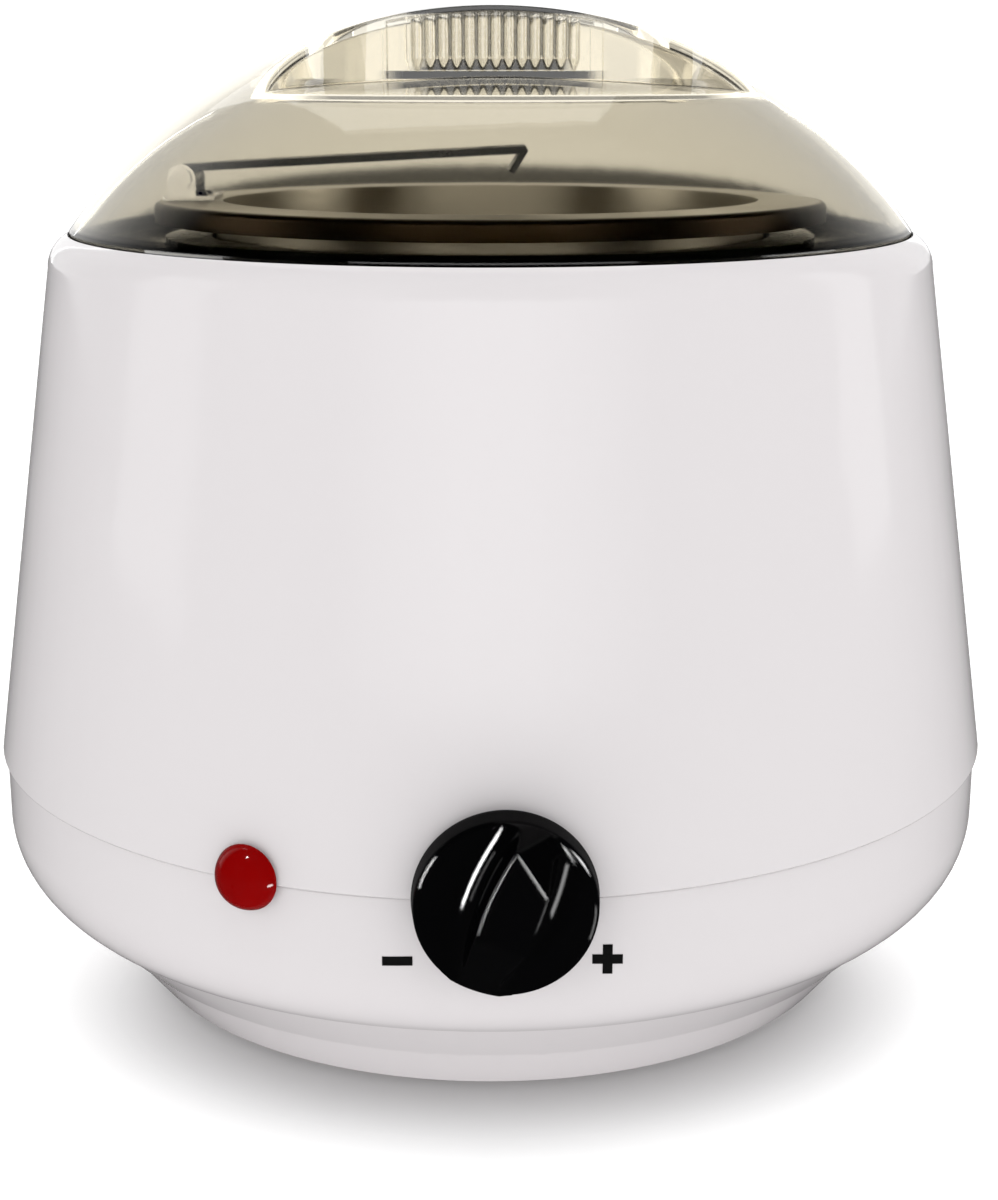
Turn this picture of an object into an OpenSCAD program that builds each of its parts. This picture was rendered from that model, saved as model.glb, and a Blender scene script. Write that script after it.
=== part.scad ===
// Electric wax warmer with a lift-off smoked lid, a loose inner pot and a heat dial.
// Z is up, the dial faces -Y, and the origin is on the table under the body's axis.

/* [Body] */
// Widest diameter of the upper shell, at the parting line
body_d = 190.8; // [186:0.2:200]
// Height of the parting line between the two shells
seam_z = 45; // [43:0.5:48]
// Height of the upper shell's rim
shell_h = 142; // [138:0.5:150]
// Distance from the shell's lip, beside the lid, out to the widest line of its shoulder
shoulder_w = 3.8; // [3:0.1:5]
// Radius of the rounded shoulder
shoulder_r = 6.5; // [5:0.5:8]
// Wall thickness of both shells
wall = 2.6; // [2:0.1:3.2]
// How far the lower shell stands back at the parting line
seam_step = 0.8; // [0.4:0.1:1]
// Thickness of the deck that carries the lid and the well
deck_t = 2.6; // [2:0.1:3.2]

/* [Base] */
// How far the flat rim under the base stands in from the widest radius
base_inset = 25.4; // [22:0.2:28]
// How far the lower crease stands in from the widest radius
low_inset = 18.9; // [16:0.1:21]
// Height of the lower crease
low_crease_z = 9; // [7:0.5:11]
// How far the upper crease stands in from the widest radius
top_inset = 8.9; // [7:0.1:10]
// Height of the upper crease
top_crease_z = 18.8; // [17:0.2:21]
// Height at which the lower shell reaches its full width
belly_z = 33; // [30:0.5:36]
// Depth of the small step at each crease
crease_step = 0.6; // [0.3:0.1:1]
// How far the base rim stands above the table
base_lift = 0.8; // [0.5:0.1:1.2]
// Width of the flat rim under the base
base_rim_w = 8; // [7:0.5:10]
// Width of the rubber foot ring
foot_w = 3; // [2:0.5:4]
// Depth of the groove that holds the foot ring
foot_groove = 1.6; // [1:0.2:1.8]
// Number of vent slots in the floor
vent_n = 16; // [8:1:20]
// Length of a vent slot
vent_len = 18; // [12:1:22]
// Width of a vent slot
vent_w = 2.5; // [2:0.1:3]

/* [Lid] */
// Radius of the lid's dome
dome_r = 96.2; // [94:0.1:99]
// Height of the lid's crown above the upper shell's rim
lid_rise = 40; // [38:0.5:42]
// Wall thickness of the lid
lid_wall = 1.9; // [1.6:0.1:2.6]
// Angle of the loose lid, as the photograph shows it
lid_turn = 5.3; // [0:0.1:8]
// Depth of the seat that the lid drops into
lid_seat = 2.5; // [2:0.1:3]
// Gap between the lid and the shell's lip
lid_gap = 0.35; // [0.3:0.05:0.8]
// Width of the finger grip between the two scoops
grip_w = 16; // [14:0.5:20]
// Depth of the scoops below the crown, at their outer edge
scoop_depth = 15.5; // [13:0.5:17]
// Radius of the scoops' round ends
scoop_r = 24; // [22:0.5:26]
// Half the length of a scoop's straight wall
scoop_half = 18; // [15:0.5:20]
// Slope of the scoops' round floor, rising towards the crown's axis
scoop_slope = 3.3; // [2:0.1:5]
// Number of finger ribs on each side of the grip
rib_n = 13; // [9:2:15]
// Spacing of the finger ribs
rib_pitch = 2.38; // [2.2:0.02:2.6]
// Radius of a finger rib
rib_r = 1; // [0.8:0.1:1.2]
// Width of the flat panel that carries the ribs
panel_w = 39.4; // [36:0.2:42]
// How far the panel stands out of the grip's wall
panel_t = 0.5; // [0.3:0.1:0.8]

/* [Pot and well] */
// Inner radius of the wax pot
pot_r = 50; // [47:0.5:52]
// Wall thickness of the wax pot
pot_wall = 1.2; // [1:0.1:1.6]
// Inside depth of the wax pot
pot_depth = 66; // [60:1:72]
// Width of the pot's rim, where the wax drips off
pot_rim_w = 11.3; // [10:0.1:12]
// Height of the pot's rim above the deck
pot_rise = 7.5; // [7:0.1:9]
// Height of the rim's turned-down edge
pot_edge = 3.6; // [3:0.1:4.5]
// Gap between the pot and the well
pot_gap = 1.2; // [0.8:0.1:1.6]
// Sheet thickness of the heating well
well_wall = 1.2; // [1:0.1:1.5]
// Width of the flange that hangs the well on the deck
well_flange = 7; // [5:0.5:8]

/* [Heater] */
// Thickness of the heating band
band_t = 2; // [1.5:0.1:2.5]
// Height of the heating band
band_h = 38; // [30:1:42]
// Thickness of the insulating sleeve
sleeve_t = 6; // [4:0.5:7]
// Radial space between the sleeve and the heat shield
shield_gap = 3; // [2:0.1:4]
// Sheet thickness of the heat shield
shield_t = 0.8; // [0.6:0.1:1]
// Thickness of the insulating disc under the well
disc_t = 8.5; // [7:0.5:10]
// Length of the bosses that carry the heat shield
shield_boss_h = 7; // [6:0.5:9]

/* [Pot handle] */
// Length of the fold-over handle, from its hinge pin to its curled tip
handle_len = 64; // [58:1:66]
// Width of the handle's strip
handle_w = 12; // [10:0.5:13]
// Thickness of the handle's strip
handle_t = 1.4; // [1:0.1:1.6]
// Distance of the hinge pin in from the edge of the pot's rim
hinge_set = 5.5; // [5:0.1:6]
// Height of the hinge pin above the pot's rim
hinge_rise = 4; // [3.9:0.1:5]
// Radius of the hinge pin
hinge_pin_r = 1.1; // [0.9:0.1:1.2]
// Sheet thickness of the hinge bracket
hinge_t = 0.8; // [0.6:0.1:1]
// Angle by which the handle's tip stands up, as the photograph shows it
handle_lean = 2.9; // [0:0.1:4]
// Length of the lip that is bent back under the handle's tip
lip_len = 3.6; // [3:0.1:4.5]
// Diameter of the hole near the handle's tip
hang_hole_d = 4.5; // [3:0.5:5.5]

/* [Dial] */
// Height of the dial and the lamp above the parting line
control_rise = 1; // [0:0.5:1.5]
// Diameter of the dial at the body
dial_d = 29.4; // [27:0.2:32]
// Diameter of the dial's rim at its front edge
dial_face_d = 28.8; // [27:0.2:29]
// Height of the dial's rim
dial_rim_h = 4.5; // [4:0.1:6]
// Height of the dial's grip above the body side of the dial
dial_h = 12; // [11:0.5:14]
// Width of the grip where it is widest
grip_top_w = 9; // [8:0.1:10]
// Radius of the long curve of the grip's sides
grip_side_r = 50; // [40:1:60]
// Distance of the grip's widest point from the shaft, away from the pointer
grip_mid = 1.5; // [0:0.1:2]
// Radius of the finger hollows at the foot of the grip
hollow_r = 3.6; // [3:0.1:4]
// Distance from the shaft at which the pointer starts to slope down
nose_start = 3; // [2:0.1:5]
// Distance from the shaft to the sloping end of the grip, away from the pointer
brow_in = 7.7; // [6.5:0.1:10]
// Angle round the dial by which the grip's sloping end is turned to the right
brow_turn = 37; // [0:1:45]
// Gap between the dial and the body
dial_gap = 0.9; // [0.6:0.1:1.5]
// Angle of the grip bar, clockwise from upright, as the photograph shows it
dial_rest = 21; // [0:1:60]
// Radius of the dial's shaft
shaft_r = 3; // [2.5:0.1:3.2]
// Running clearance of the shaft in its bush
shaft_fit = 0.05; // [0.02:0.01:0.1]
// Radius of the shaft's opening in the shells
shaft_opening_r = 5; // [4.5:0.1:6]

/* [Thermostat] */
// Width and height of the thermostat's case
stat_w = 28; // [24:1:30]
// Depth of the thermostat's case
stat_depth = 16; // [14:0.5:17]
// Radius of the thermostat's threaded bush
bush_r = 4.5; // [4.2:0.1:5]
// Sheet thickness of the thermostat's bracket
bracket_t = 1.2; // [1:0.1:1.5]
// Width of the thermostat's bracket
bracket_w = 30; // [28:1:32]
// Height of the bracket's foot above the table
bracket_z = 24; // [23.5:0.5:26]

/* [Lamp] */
// Angle of the lamp from the dial, round the body
lamp_angle = 25.4; // [22:0.2:30]
// Diameter of the lamp's red lens
lens_d = 10.4; // [9:0.2:12]
// Height of the lens's dome
lens_h = 3.2; // [2.5:0.1:4]
// Radius of the lamp's stem
lamp_stem_r = 4.2; // [3.8:0.1:4.4]
// Length of the lamp's stem
lamp_stem = 16; // [14:0.5:18]

/* [Case screws and posts] */
// Radius of the posts that join the shells
post_r = 4.2; // [4:0.1:4.6]
// How far the posts stand in from the widest radius
post_inset = 13.4; // [12.5:0.1:14.5]
// Radius of the screws' shanks
screw_r = 1.5; // [1.3:0.1:1.7]
// Height at which the screws' heads seat
screw_seat_z = 31; // [29:0.5:33]

/* [Cord entry] */
// Radius of the bore that the supply cord enters by
cord_bore_r = 3.3; // [2.8:0.1:3.8]
// Height of the cord entry above the height where the lower shell is widest
cord_rise = 1; // [0.5:0.1:1.5]

/* [Hidden] */
$fn = 96;

// A small distance by which a cut passes through a face
cut = 1;
// Clearance between two pieces of one assembly that only lie together
near = 0.2;
// A large length that reaches past the whole object
far = 400;

body_r = body_d / 2;
shoulder_z = shell_h - shoulder_r;
low_r = body_r - seam_step;
deck_z = shell_h - lid_seat;
deck_under = deck_z - deck_t;
edge_round = 0.5;

// The lid's dome
lid_top = shell_h + lid_rise;
dome_z = lid_top - dome_r;
lid_rim_r = sqrt(dome_r * dome_r - pow(shell_h - dome_z, 2));
lip_r = lid_rim_r + lid_gap;
shoulder_out = lip_r + shoulder_w;
scoop_y = grip_w / 2 + scoop_r;
scoop_z = lid_top - scoop_depth;
// Where the scoop's floor meets the dome, and the height it would reach at the axis
scoop_edge = sqrt(dome_r * dome_r - pow(scoop_z - dome_z, 2));
scoop_crown = scoop_z + scoop_edge * tan(scoop_slope);
// Height of the ribs' feet above the scoop's floor line, and of the dome above the panels
rib_foot = 3.8;
panel_drop = 0.9;

// The base
base_r = body_r - base_inset;
low_crease_r = body_r - low_inset;
top_crease_r = body_r - top_inset;
floor_z = base_lift + foot_groove;
floor_top = floor_z + wall;
rim_in = base_r - base_rim_w;
foot_r = base_r - base_rim_w / 2;

// The pot and the well
pot_rim_z = deck_z + pot_rise;
pot_out = pot_r + pot_wall;
pot_rim_r = pot_out + pot_rim_w;
pot_floor_z = pot_rim_z - pot_depth;
pot_under = pot_floor_z - pot_wall;
pot_corner = 8;
well_in = pot_out + pot_gap;
well_out = well_in + well_wall;
well_under = pot_under - well_wall;
deck_hole_r = well_out + 0.8;

// The heater, from the well outwards
band_in = well_out + near;
band_out = band_in + band_t;
band_z = well_under + pot_corner + well_wall;
sleeve_in = band_out + near;
sleeve_out = sleeve_in + sleeve_t;
shield_in = sleeve_out + shield_gap;
shield_out = shield_in + shield_t;
shield_top = deck_under - shield_boss_h;
shield_under = well_under - disc_t - near - shield_t;
shield_ring = shield_out + 6;
// Width of the sleeve's slot for the band's lugs, and the room for the capillary beside the bulb
sleeve_slot = 18;
bulb_room = 10;
lug_gap = 5;
lug_t = 1.6;
lug_h = 14;
lug_reach = 7;
band_bolt_z = band_z + band_h / 2;
stud_r = 2;
stud_end = 8;
stud_len = disc_t + shield_t + stud_end;
nut_h = 3.2;
nut_r = 4;

// The controls
control_z = seam_z + control_rise;
cord_z = belly_z + cord_rise;
dial_back = body_r + dial_gap;
bore_depth = 6.4;
rim_round = 0.8;
boss_r = 5.2;
recess_depth = 1.6;
brow_slope = 34;
shaft_flat = shaft_r - 1;
shaft_in = 12;
bracket_in = 6;
bracket_face = body_r - wall - bracket_in;
bracket_top = control_z + stat_w / 2 + 1;
stat_front = bracket_face - bracket_t;
stat_back = stat_front - stat_depth;
stat_bush_end = bracket_face + 4;
foot_depth = 15;
bracket_post_x = 10;
bracket_post_in = 9;
bracket_post_y = bracket_face - bracket_post_in;
lamp_face = body_r + 0.3;
lamp_back = lamp_face - lamp_stem + 2;
opening_in = body_r - 4 * wall;
opening_len = 6 * wall;
bracket_screw_len = 6;
block_screw_len = 6.5;
bush_nut_r = 7.2;

// The tongue that stands in the upper shell, clear of its sloping wall
tongue_h = 3;
tongue_t = 1.4;
clip_t = 0.8;
tongue_out = body_r - wall - (body_r - shoulder_out) * tongue_h / (shoulder_z - seam_z) - 0.25;
// The lamp's spring clip lies flat, clear of the tongue's inner side
clip_in = tongue_out - tongue_t - clip_t - 0.6;

// The case posts: angles round the body, none at the front
post_angles = [20, 65, 115, 160];
post_ring = body_r - post_inset;
post_top = seam_z;
bracket_post_r = 3.4;
block_post_r = 4;
boss_h = 26;
web_r = body_r - wall / 2 - (body_r - shoulder_out) * boss_h / (shoulder_z - seam_z);
case_shank_r = screw_r - 0.3;
case_screw_len = post_top - screw_seat_z + boss_h - 8;
small_shank_r = 1.1;
thread_fit = 0.05;

// The handle's hinge
hinge_x = pot_rim_r - hinge_set;
hinge_z = pot_rim_z + hinge_rise;
rivet_x = hinge_x - 3;
rivet_y = 4;
eye_r = hinge_pin_r + 0.06 + handle_t;
ear_y = handle_w / 2 + 0.3;
ear_w = hinge_t;
// Angle between the handle's strip and the lip under its tip
lip_angle = 55;

// Where the sealed parts inside stand
block_at = [34, 30];
block_size = [24, 14, 13];
// Half the spacing of the block's terminals, and their depth
terminal_x = 8;
terminal_y = 3.5;
terminal_depth = 4;
fuse_at = [0, 30];
fuse_r = 2.5;
fuse_len = 13;
bulb_r = 3;
bulb_len = 56;
bulb_y = -26;
wire_r = 1.2;

// The cord's gland, from inside the wall to outside it
gland_in = low_r - wall - 4;
gland_reach = 6.7;
gland_len = wall + gland_reach;
bulb_z = well_under - bulb_r;
tube_x = bulb_len / 2 + 5;
tube_r = 0.9;
// How far the capillary drops below the shield, and its last straight run into the thermostat
tube_drop = 8;
tube_lead = 12;
tube_rise = 6;
lead_way_r = 4.5;
lead_way_y = shield_in - lead_way_r - 1;
block_z = floor_z + wall + 3;
lead_z = block_z + 6;
lamp_lead_bend = [-20, -40, 20];
lamp_lead_run = 10;
lead_drop = 14;
lead_reach = 20;

function arc(cx, cy, r, a0, a1, n) = [for (i = [0:n])
    let (a = a0 + (a1 - a0) * i / n) [cx + r * cos(a), cy + r * sin(a)]];

// The angle at which the shoulder's arc meets the inside of the lip
shoulder_meet = acos((lip_r - (shoulder_out - shoulder_r)) / shoulder_r);

// The belly's arc leaves the crease and turns upright at belly_z
belly_in = low_r - top_crease_r - crease_step;
belly_drop = belly_z - top_crease_z;
belly_turn = 2 * atan(belly_in / belly_drop);
belly_r = belly_drop / sin(belly_turn);

// Move a shape that stands on Z so that it points out of the body's front
module on_front(angle = 0, z = 0, out = 0) {
    rotate([0, 0, angle]) translate([0, -out, z]) rotate([90, 0, 0]) children();
}

// Repeat a shape round the body's axis
module round_at(angles, radius) {
    for (a = angles) rotate([0, 0, a]) translate([radius, 0, 0]) children();
}

// Corners of a route cut once, so that its bends are rounder and its ends stay straight
function eased(p) = concat([p[0]], [for (i = [0:len(p) - 2]) for (t = [0.25, 0.75])
    p[i] + (p[i + 1] - p[i]) * t], [p[len(p) - 1]]);
function unit(v) = v / norm(v);
function heading(p, i) = i == 0 ? unit(p[1] - p[0]) :
    i == len(p) - 1 ? unit(p[i] - p[i - 1]) : unit(unit(p[i + 1] - p[i]) + unit(p[i] - p[i - 1]));
function square_to(v, t) = unit(v - (v * t) * t);
function first_side(t) = square_to(abs(t[2]) < 0.9 ? [0, 0, 1] : [1, 0, 0], t);

// A wire or tube swept along a route, with eight flat sides
module wire(route, r) {
    p = eased(eased(route));
    sides = 8;
    last = len(p) - 1;
    rings = [for (i = 0, n = first_side(heading(p, 0)); i <= last;
            i = i + 1, n = i <= last ? square_to(n, heading(p, i)) : n)
        for (k = [0:sides - 1]) let (a = 360 * k / sides, b = cross(heading(p, i), n))
            p[i] + r * (cos(a) * n + sin(a) * b)];
    skin = [for (i = [0:last - 1]) for (k = [0:sides - 1])
        let (a = i * sides + k, b = i * sides + (k + 1) % sides)
            for (f = [[a, a + sides, b], [b, a + sides, b + sides]]) f];
    polyhedron(rings, concat(skin, [[for (k = [0:sides - 1]) k]],
        [[for (k = [sides - 1:-1:0]) last * sides + k]]));
}

module tube(r_out, r_in, h) {
    difference() {
        cylinder(r = r_out, h = h);
        translate([0, 0, -cut]) cylinder(r = r_in, h = h + 2 * cut);
    }
}

// A pan-head screw that points up from its seat, with a cross recess below
module screw_up(shank_r, shank_len, head_r, head_h) {
    cylinder(r = shank_r, h = shank_len);
    difference() {
        translate([0, 0, -head_h]) cylinder(r1 = head_r * 0.8, r2 = head_r, h = head_h);
        for (a = [0, 90]) rotate([0, 0, a])
            translate([-head_r * 0.6, -0.4, -head_h - cut]) cube([head_r * 1.2, 0.8, cut + 1]);
    }
}

// The openings for the dial's shaft and the lamp's stem, through both shells
module control_openings() {
    on_front(0, control_z, opening_in) cylinder(r = shaft_opening_r, h = opening_len);
    on_front(-lamp_angle, control_z, opening_in) cylinder(r = lamp_stem_r + near, h = opening_len);
}

// Upper shell: outline of its solid and of its hollow
module upper_outline() {
    polygon(concat([[0, seam_z]], arc(body_r - edge_round, seam_z + edge_round, edge_round, -90, 0, 3),
        arc(shoulder_out - shoulder_r, shoulder_z, shoulder_r, 0, shoulder_meet, 8),
        [[lip_r, deck_z], [0, deck_z]]));
}

module upper_hollow() {
    polygon(concat([[0, seam_z - cut], [body_r - wall, seam_z - cut], [body_r - wall, seam_z]],
        arc(shoulder_out - wall - 3, deck_under - 3, 3, 0, 90, 5),
        [[0, deck_under]]));
}

module upper_shell() {
    color("white") difference() {
        union() {
            rotate_extrude() difference() {
                upper_outline();
                upper_hollow();
                square([deck_hole_r, far]);
            }
            intersection() {
                union() {
                    round_at(post_angles, post_ring) {
                        translate([0, 0, post_top]) cylinder(r = post_r, h = boss_h);
                        translate([0, -1, post_top]) cube([body_r, 2, boss_h]);
                    }
                    round_at([45:90:315], shield_ring)
                        translate([0, 0, shield_top]) cylinder(r = 3.5, h = shield_boss_h + cut);
                }
                rotate_extrude() upper_outline();
                // The webs stop inside the wall
                union() {
                    cylinder(r = web_r, h = post_top + boss_h);
                    translate([0, 0, post_top + boss_h - cut]) cylinder(r = body_r, h = far);
                }
            }
        }
        round_at(post_angles, post_ring) translate([0, 0, post_top - cut])
            cylinder(r = case_shank_r + thread_fit, h = boss_h - 4);
        round_at([45:90:315], shield_ring) translate([0, 0, shield_top - cut])
            cylinder(r = small_shank_r + thread_fit, h = shield_boss_h);
        control_openings();
    }
}

// Lower shell: outline of its solid and of its hollow
module lower_outline() {
    polygon(concat([[0, base_lift], [base_r, base_lift],
            [low_crease_r, low_crease_z], [low_crease_r + crease_step, low_crease_z + crease_step],
            [top_crease_r, top_crease_z]],
        arc(low_r - belly_r, belly_z, belly_r, -belly_turn, 0, 10),
        arc(low_r - edge_round, seam_z - edge_round, edge_round, 0, 90, 3), [[0, seam_z]]));
}

module lower_hollow() {
    polygon(concat([[0, floor_top], [base_r - wall, floor_top],
            [low_crease_r - wall, low_crease_z + wall / 2],
            [top_crease_r - wall, top_crease_z + wall / 2]],
        arc(low_r - belly_r, belly_z, belly_r - wall, -belly_turn * 0.8, 0, 8),
        [[low_r - wall, seam_z + cut], [0, seam_z + cut]]));
}

module lower_shell() {
    color("white") difference() {
        union() {
            rotate_extrude() difference() {
                lower_outline();
                lower_hollow();
                square([rim_in, floor_z]);
            }
            // The tongue that locates the upper shell
            translate([0, 0, seam_z - tongue_h - cut]) {
                tube(tongue_out, tongue_out - tongue_t, 2 * tongue_h + cut);
                tube(low_r - wall / 2, tongue_out - tongue_t, tongue_h);
            }
            intersection() {
                rotate_extrude() lower_outline();
                union() {
                    round_at(post_angles, post_ring) cylinder(r = post_r, h = post_top);
                    for (x = [-bracket_post_x, bracket_post_x])
                        translate([x, -bracket_post_y, 0]) cylinder(r = bracket_post_r, h = bracket_z);
                    translate([block_at[0], block_at[1], floor_z])
                        cylinder(r = block_post_r, h = block_z - floor_z);
                }
            }
        }
        // Foot groove, vents, screw wells and pilot holes
        foot_tube();
        for (i = [0:vent_n - 1]) rotate([0, 0, 360 * i / vent_n])
            translate([rim_in * 0.45, -vent_w / 2, 0]) cube([vent_len, vent_w, floor_top + cut]);
        round_at(post_angles, post_ring) {
            cylinder(r = 3.1, h = screw_seat_z);
            cylinder(r = screw_r + near, h = far);
        }
        for (x = [-bracket_post_x, bracket_post_x])
            translate([x, -bracket_post_y, bracket_z - bracket_screw_len - cut])
                cylinder(r = small_shank_r + thread_fit, h = bracket_screw_len + 2 * cut);
        translate([block_at[0], block_at[1], floor_top - 1])
            cylinder(r = small_shank_r + thread_fit, h = far);
        control_openings();
        on_front(180, cord_z, gland_in) cylinder(r = cord_bore_r + 2 + near, h = gland_len);
    }
}

module foot_tube() {
    tube(foot_r + foot_w / 2, foot_r - foot_w / 2, base_lift + foot_groove * 0.75);
}

module foot_ring() {
    color("dimgray") foot_tube();
}

module case_screws() {
    color("silver") round_at(post_angles, post_ring) translate([0, 0, screw_seat_z])
        screw_up(case_shank_r, case_screw_len, 2.8, 2.2);
}

// Lid: a stadium-shaped finger scoop on each side of the grip
module scoops(grow) {
    for (a = [0, 180]) rotate([0, 0, a]) intersection() {
        translate([0, -scoop_y, scoop_z - scoop_r]) linear_extrude(height = far) union() {
            square([2 * scoop_half, 2 * (scoop_r + grow)], center = true);
            for (x = [-scoop_half, scoop_half]) translate([x, 0]) circle(r = scoop_r + grow);
        }
        // The floor is a flat cone, so that it meets the dome in a level edge
        rotate_extrude() polygon([[0, scoop_crown - grow],
            [body_r, scoop_crown - grow - body_r * tan(scoop_slope)], [body_r, far], [0, far]]);
    }
}

// The flat panel on each side of the grip, with upright ribs that end above the scoop's floor
module panels() {
    for (side = [0, 180]) rotate([0, 0, side]) {
        translate([-panel_w / 2, -grip_w / 2 - panel_t, scoop_z]) cube([panel_w, grip_w / 2, scoop_depth]);
        for (i = [0:rib_n - 1])
            translate([(i - (rib_n - 1) / 2) * rib_pitch, -grip_w / 2 - panel_t, scoop_z + rib_foot]) {
                cylinder(r1 = rib_r / 4, r2 = rib_r, h = 2 * rib_r);
                translate([0, 0, 2 * rib_r]) cylinder(r = rib_r, h = scoop_depth);
            }
    }
}

module lid() {
    color([0.35, 0.33, 0.3, 0.6]) rotate([0, 0, lid_turn]) difference() {
        union() {
            difference() {
                lid_dome(0);
                scoops(0);
            }
            intersection() {
                panels();
                lid_dome(panel_drop);
            }
        }
        difference() {
            lid_dome(lid_wall);
            scoops(lid_wall);
        }
    }
}

// The lid's outer form, or its hollow when it is drawn in by a wall
module lid_dome(inset) {
    floor = inset > 0 ? deck_z - cut : deck_z;
    intersection() {
        translate([0, 0, dome_z]) sphere(r = dome_r - inset);
        translate([0, 0, floor]) cylinder(r = lid_rim_r - inset, h = far);
    }
}

module heating_well() {
    color("silver") rotate_extrude() difference() {
        union() {
            polygon(concat([[0, well_under]],
                arc(well_out - pot_corner, well_under + pot_corner, pot_corner, -90, 0, 6),
                [[well_out, deck_z + well_wall], [0, deck_z + well_wall]]));
            translate([0, deck_z]) square([well_out + well_flange, well_wall]);
        }
        polygon(concat([[0, pot_under]],
            arc(well_in - pot_corner + well_wall, pot_under + pot_corner - well_wall,
                pot_corner - well_wall, -90, 0, 6),
            [[well_in, deck_z + far], [0, deck_z + far]]));
    }
}

module well_stud() {
    color("gray") translate([0, 0, well_under - stud_len]) cylinder(r = stud_r, h = stud_len);
}

module well_nut() {
    color("gray") difference() {
        union() {
            translate([0, 0, shield_under - nut_h - 1]) cylinder(r = nut_r, h = nut_h, $fn = 6);
            translate([0, 0, shield_under - 1]) cylinder(r = nut_r + 1.5, h = 1);
        }
        translate([0, 0, shield_under - far]) cylinder(r = stud_r + 0.02, h = far + cut);
    }
}

// Heating band: a split ring with two lugs at the back
module heater_band() {
    color("darkgoldenrod") difference() {
        union() {
            translate([0, 0, band_z]) tube(band_out, band_in, band_h);
            for (x = [-lug_gap / 2 - lug_t, lug_gap / 2])
                translate([x, band_in, band_bolt_z - lug_h / 2])
                    cube([lug_t, band_t + lug_reach, lug_h]);
        }
        translate([-lug_gap / 2, band_in - cut, band_z - cut]) cube([lug_gap, band_t + 2 * cut, far]);
        translate([0, band_out + 4, band_bolt_z]) rotate([0, 90, 0])
            cylinder(r = 1.7, h = far, center = true);
        cylinder(r = band_in, h = far);
    }
}

module band_bolt() {
    reach = lug_gap / 2 + lug_t;
    color("gray") translate([0, band_out + 4, band_bolt_z]) rotate([0, 90, 0]) {
        cylinder(r = 1.5, h = 2 * reach + 5, center = true);
        translate([0, 0, reach]) cylinder(r = 3, h = 2.2, $fn = 6);
        translate([0, 0, -reach - 2]) cylinder(r = 2.8, h = 2);
    }
}

module insulation_sleeve() {
    color("ivory") difference() {
        translate([0, 0, band_z - 3]) tube(sleeve_out, sleeve_in, band_h + 6);
        translate([-sleeve_slot / 2, 0, 0]) cube([sleeve_slot, far, far]);
    }
}

module insulation_disc() {
    color("ivory") difference() {
        translate([0, 0, shield_under + shield_t]) cylinder(r = sleeve_out, h = disc_t);
        translate([0, 0, shield_under]) cylinder(r = stud_r + 1, h = far);
        translate([-bulb_len / 2 - near, bulb_y - bulb_r - near, well_under - 2 * bulb_r - 2 * near])
            cube([bulb_len + bulb_room, 2 * (bulb_r + near), far]);
        translate([tube_x, bulb_y, shield_under]) cylinder(r = 2.5, h = far);
        translate([0, lead_way_y, shield_under]) cylinder(r = lead_way_r, h = far);
    }
}

module heat_shield() {
    color("lightgray") difference() {
        union() {
            translate([0, 0, shield_under]) tube(shield_out, shield_in, shield_top - shield_under);
            translate([0, 0, shield_under]) cylinder(r = shield_out, h = shield_t);
            translate([0, 0, shield_top - shield_t]) tube(shield_ring + 4, shield_in, shield_t);
        }
        translate([0, 0, shield_under - cut]) cylinder(r = stud_r + 0.5, h = shield_t + 2 * cut);
        round_at([45:90:315], shield_ring) translate([0, 0, shield_top - far / 2])
            cylinder(r = 1.8, h = far);
        // Ways for the capillary tube and the heater's leads
        translate([tube_x, bulb_y, shield_under - cut]) cylinder(r = 2.5, h = shield_t + 2 * cut);
        translate([0, lead_way_y, shield_under - cut]) cylinder(r = lead_way_r, h = shield_t + 2 * cut);
    }
}

module shield_screws() {
    color("silver") round_at([45:90:315], shield_ring) translate([0, 0, shield_top - shield_t])
        screw_up(small_shank_r, shield_boss_h - 1.5, 2.8, 2);
}

// Wax pot with a wide rim whose edge turns down
module wax_pot() {
    color("gainsboro") rotate_extrude() difference() {
        polygon(concat([[0, pot_under]],
            arc(pot_out - pot_corner, pot_under + pot_corner, pot_corner, -90, 0, 6),
            [[pot_out, pot_rim_z - pot_wall], [pot_rim_r - pot_wall, pot_rim_z - pot_wall],
                [pot_rim_r - pot_wall, pot_rim_z - pot_edge], [pot_rim_r, pot_rim_z - pot_edge]],
            arc(pot_rim_r - pot_wall, pot_rim_z - pot_wall, pot_wall, 0, 90, 4),
            [[0, pot_rim_z]]));
        polygon(concat([[0, pot_floor_z]],
            arc(pot_r - pot_corner + pot_wall, pot_floor_z + pot_corner - pot_wall,
                pot_corner - pot_wall, -90, 0, 6),
            [[pot_r, pot_rim_z + cut], [0, pot_rim_z + cut]]));
    }
}

// Hinge bracket: a plate on the pot's rim with two ears for the pin
module handle_hinge() {
    plate_in = pot_r + 1;
    plate_out = pot_rim_r - 2;
    color("silver") difference() {
        union() {
            translate([-plate_out, -ear_y - ear_w, pot_rim_z])
                cube([plate_out - plate_in, 2 * (ear_y + ear_w), hinge_t]);
            for (y = [-ear_y - ear_w, ear_y]) {
                translate([-hinge_x - eye_r, y, pot_rim_z]) cube([2 * eye_r, ear_w, hinge_rise]);
                translate([-hinge_x, y, hinge_z]) rotate([-90, 0, 0]) cylinder(r = eye_r, h = ear_w);
            }
        }
        translate([-hinge_x, 0, hinge_z]) rotate([90, 0, 0])
            cylinder(r = hinge_pin_r + 0.01, h = far, center = true);
        for (y = [-rivet_y, rivet_y]) translate([-rivet_x, y, 0]) cylinder(r = 1.05, h = far);
    }
}

module hinge_rivets() {
    color("gray") for (y = [-rivet_y, rivet_y]) translate([-rivet_x, y, pot_rim_z]) {
        cylinder(r = 1, h = hinge_t);
        translate([0, 0, hinge_t]) cylinder(r1 = 1.7, r2 = 1.2, h = 0.7);
    }
}

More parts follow.
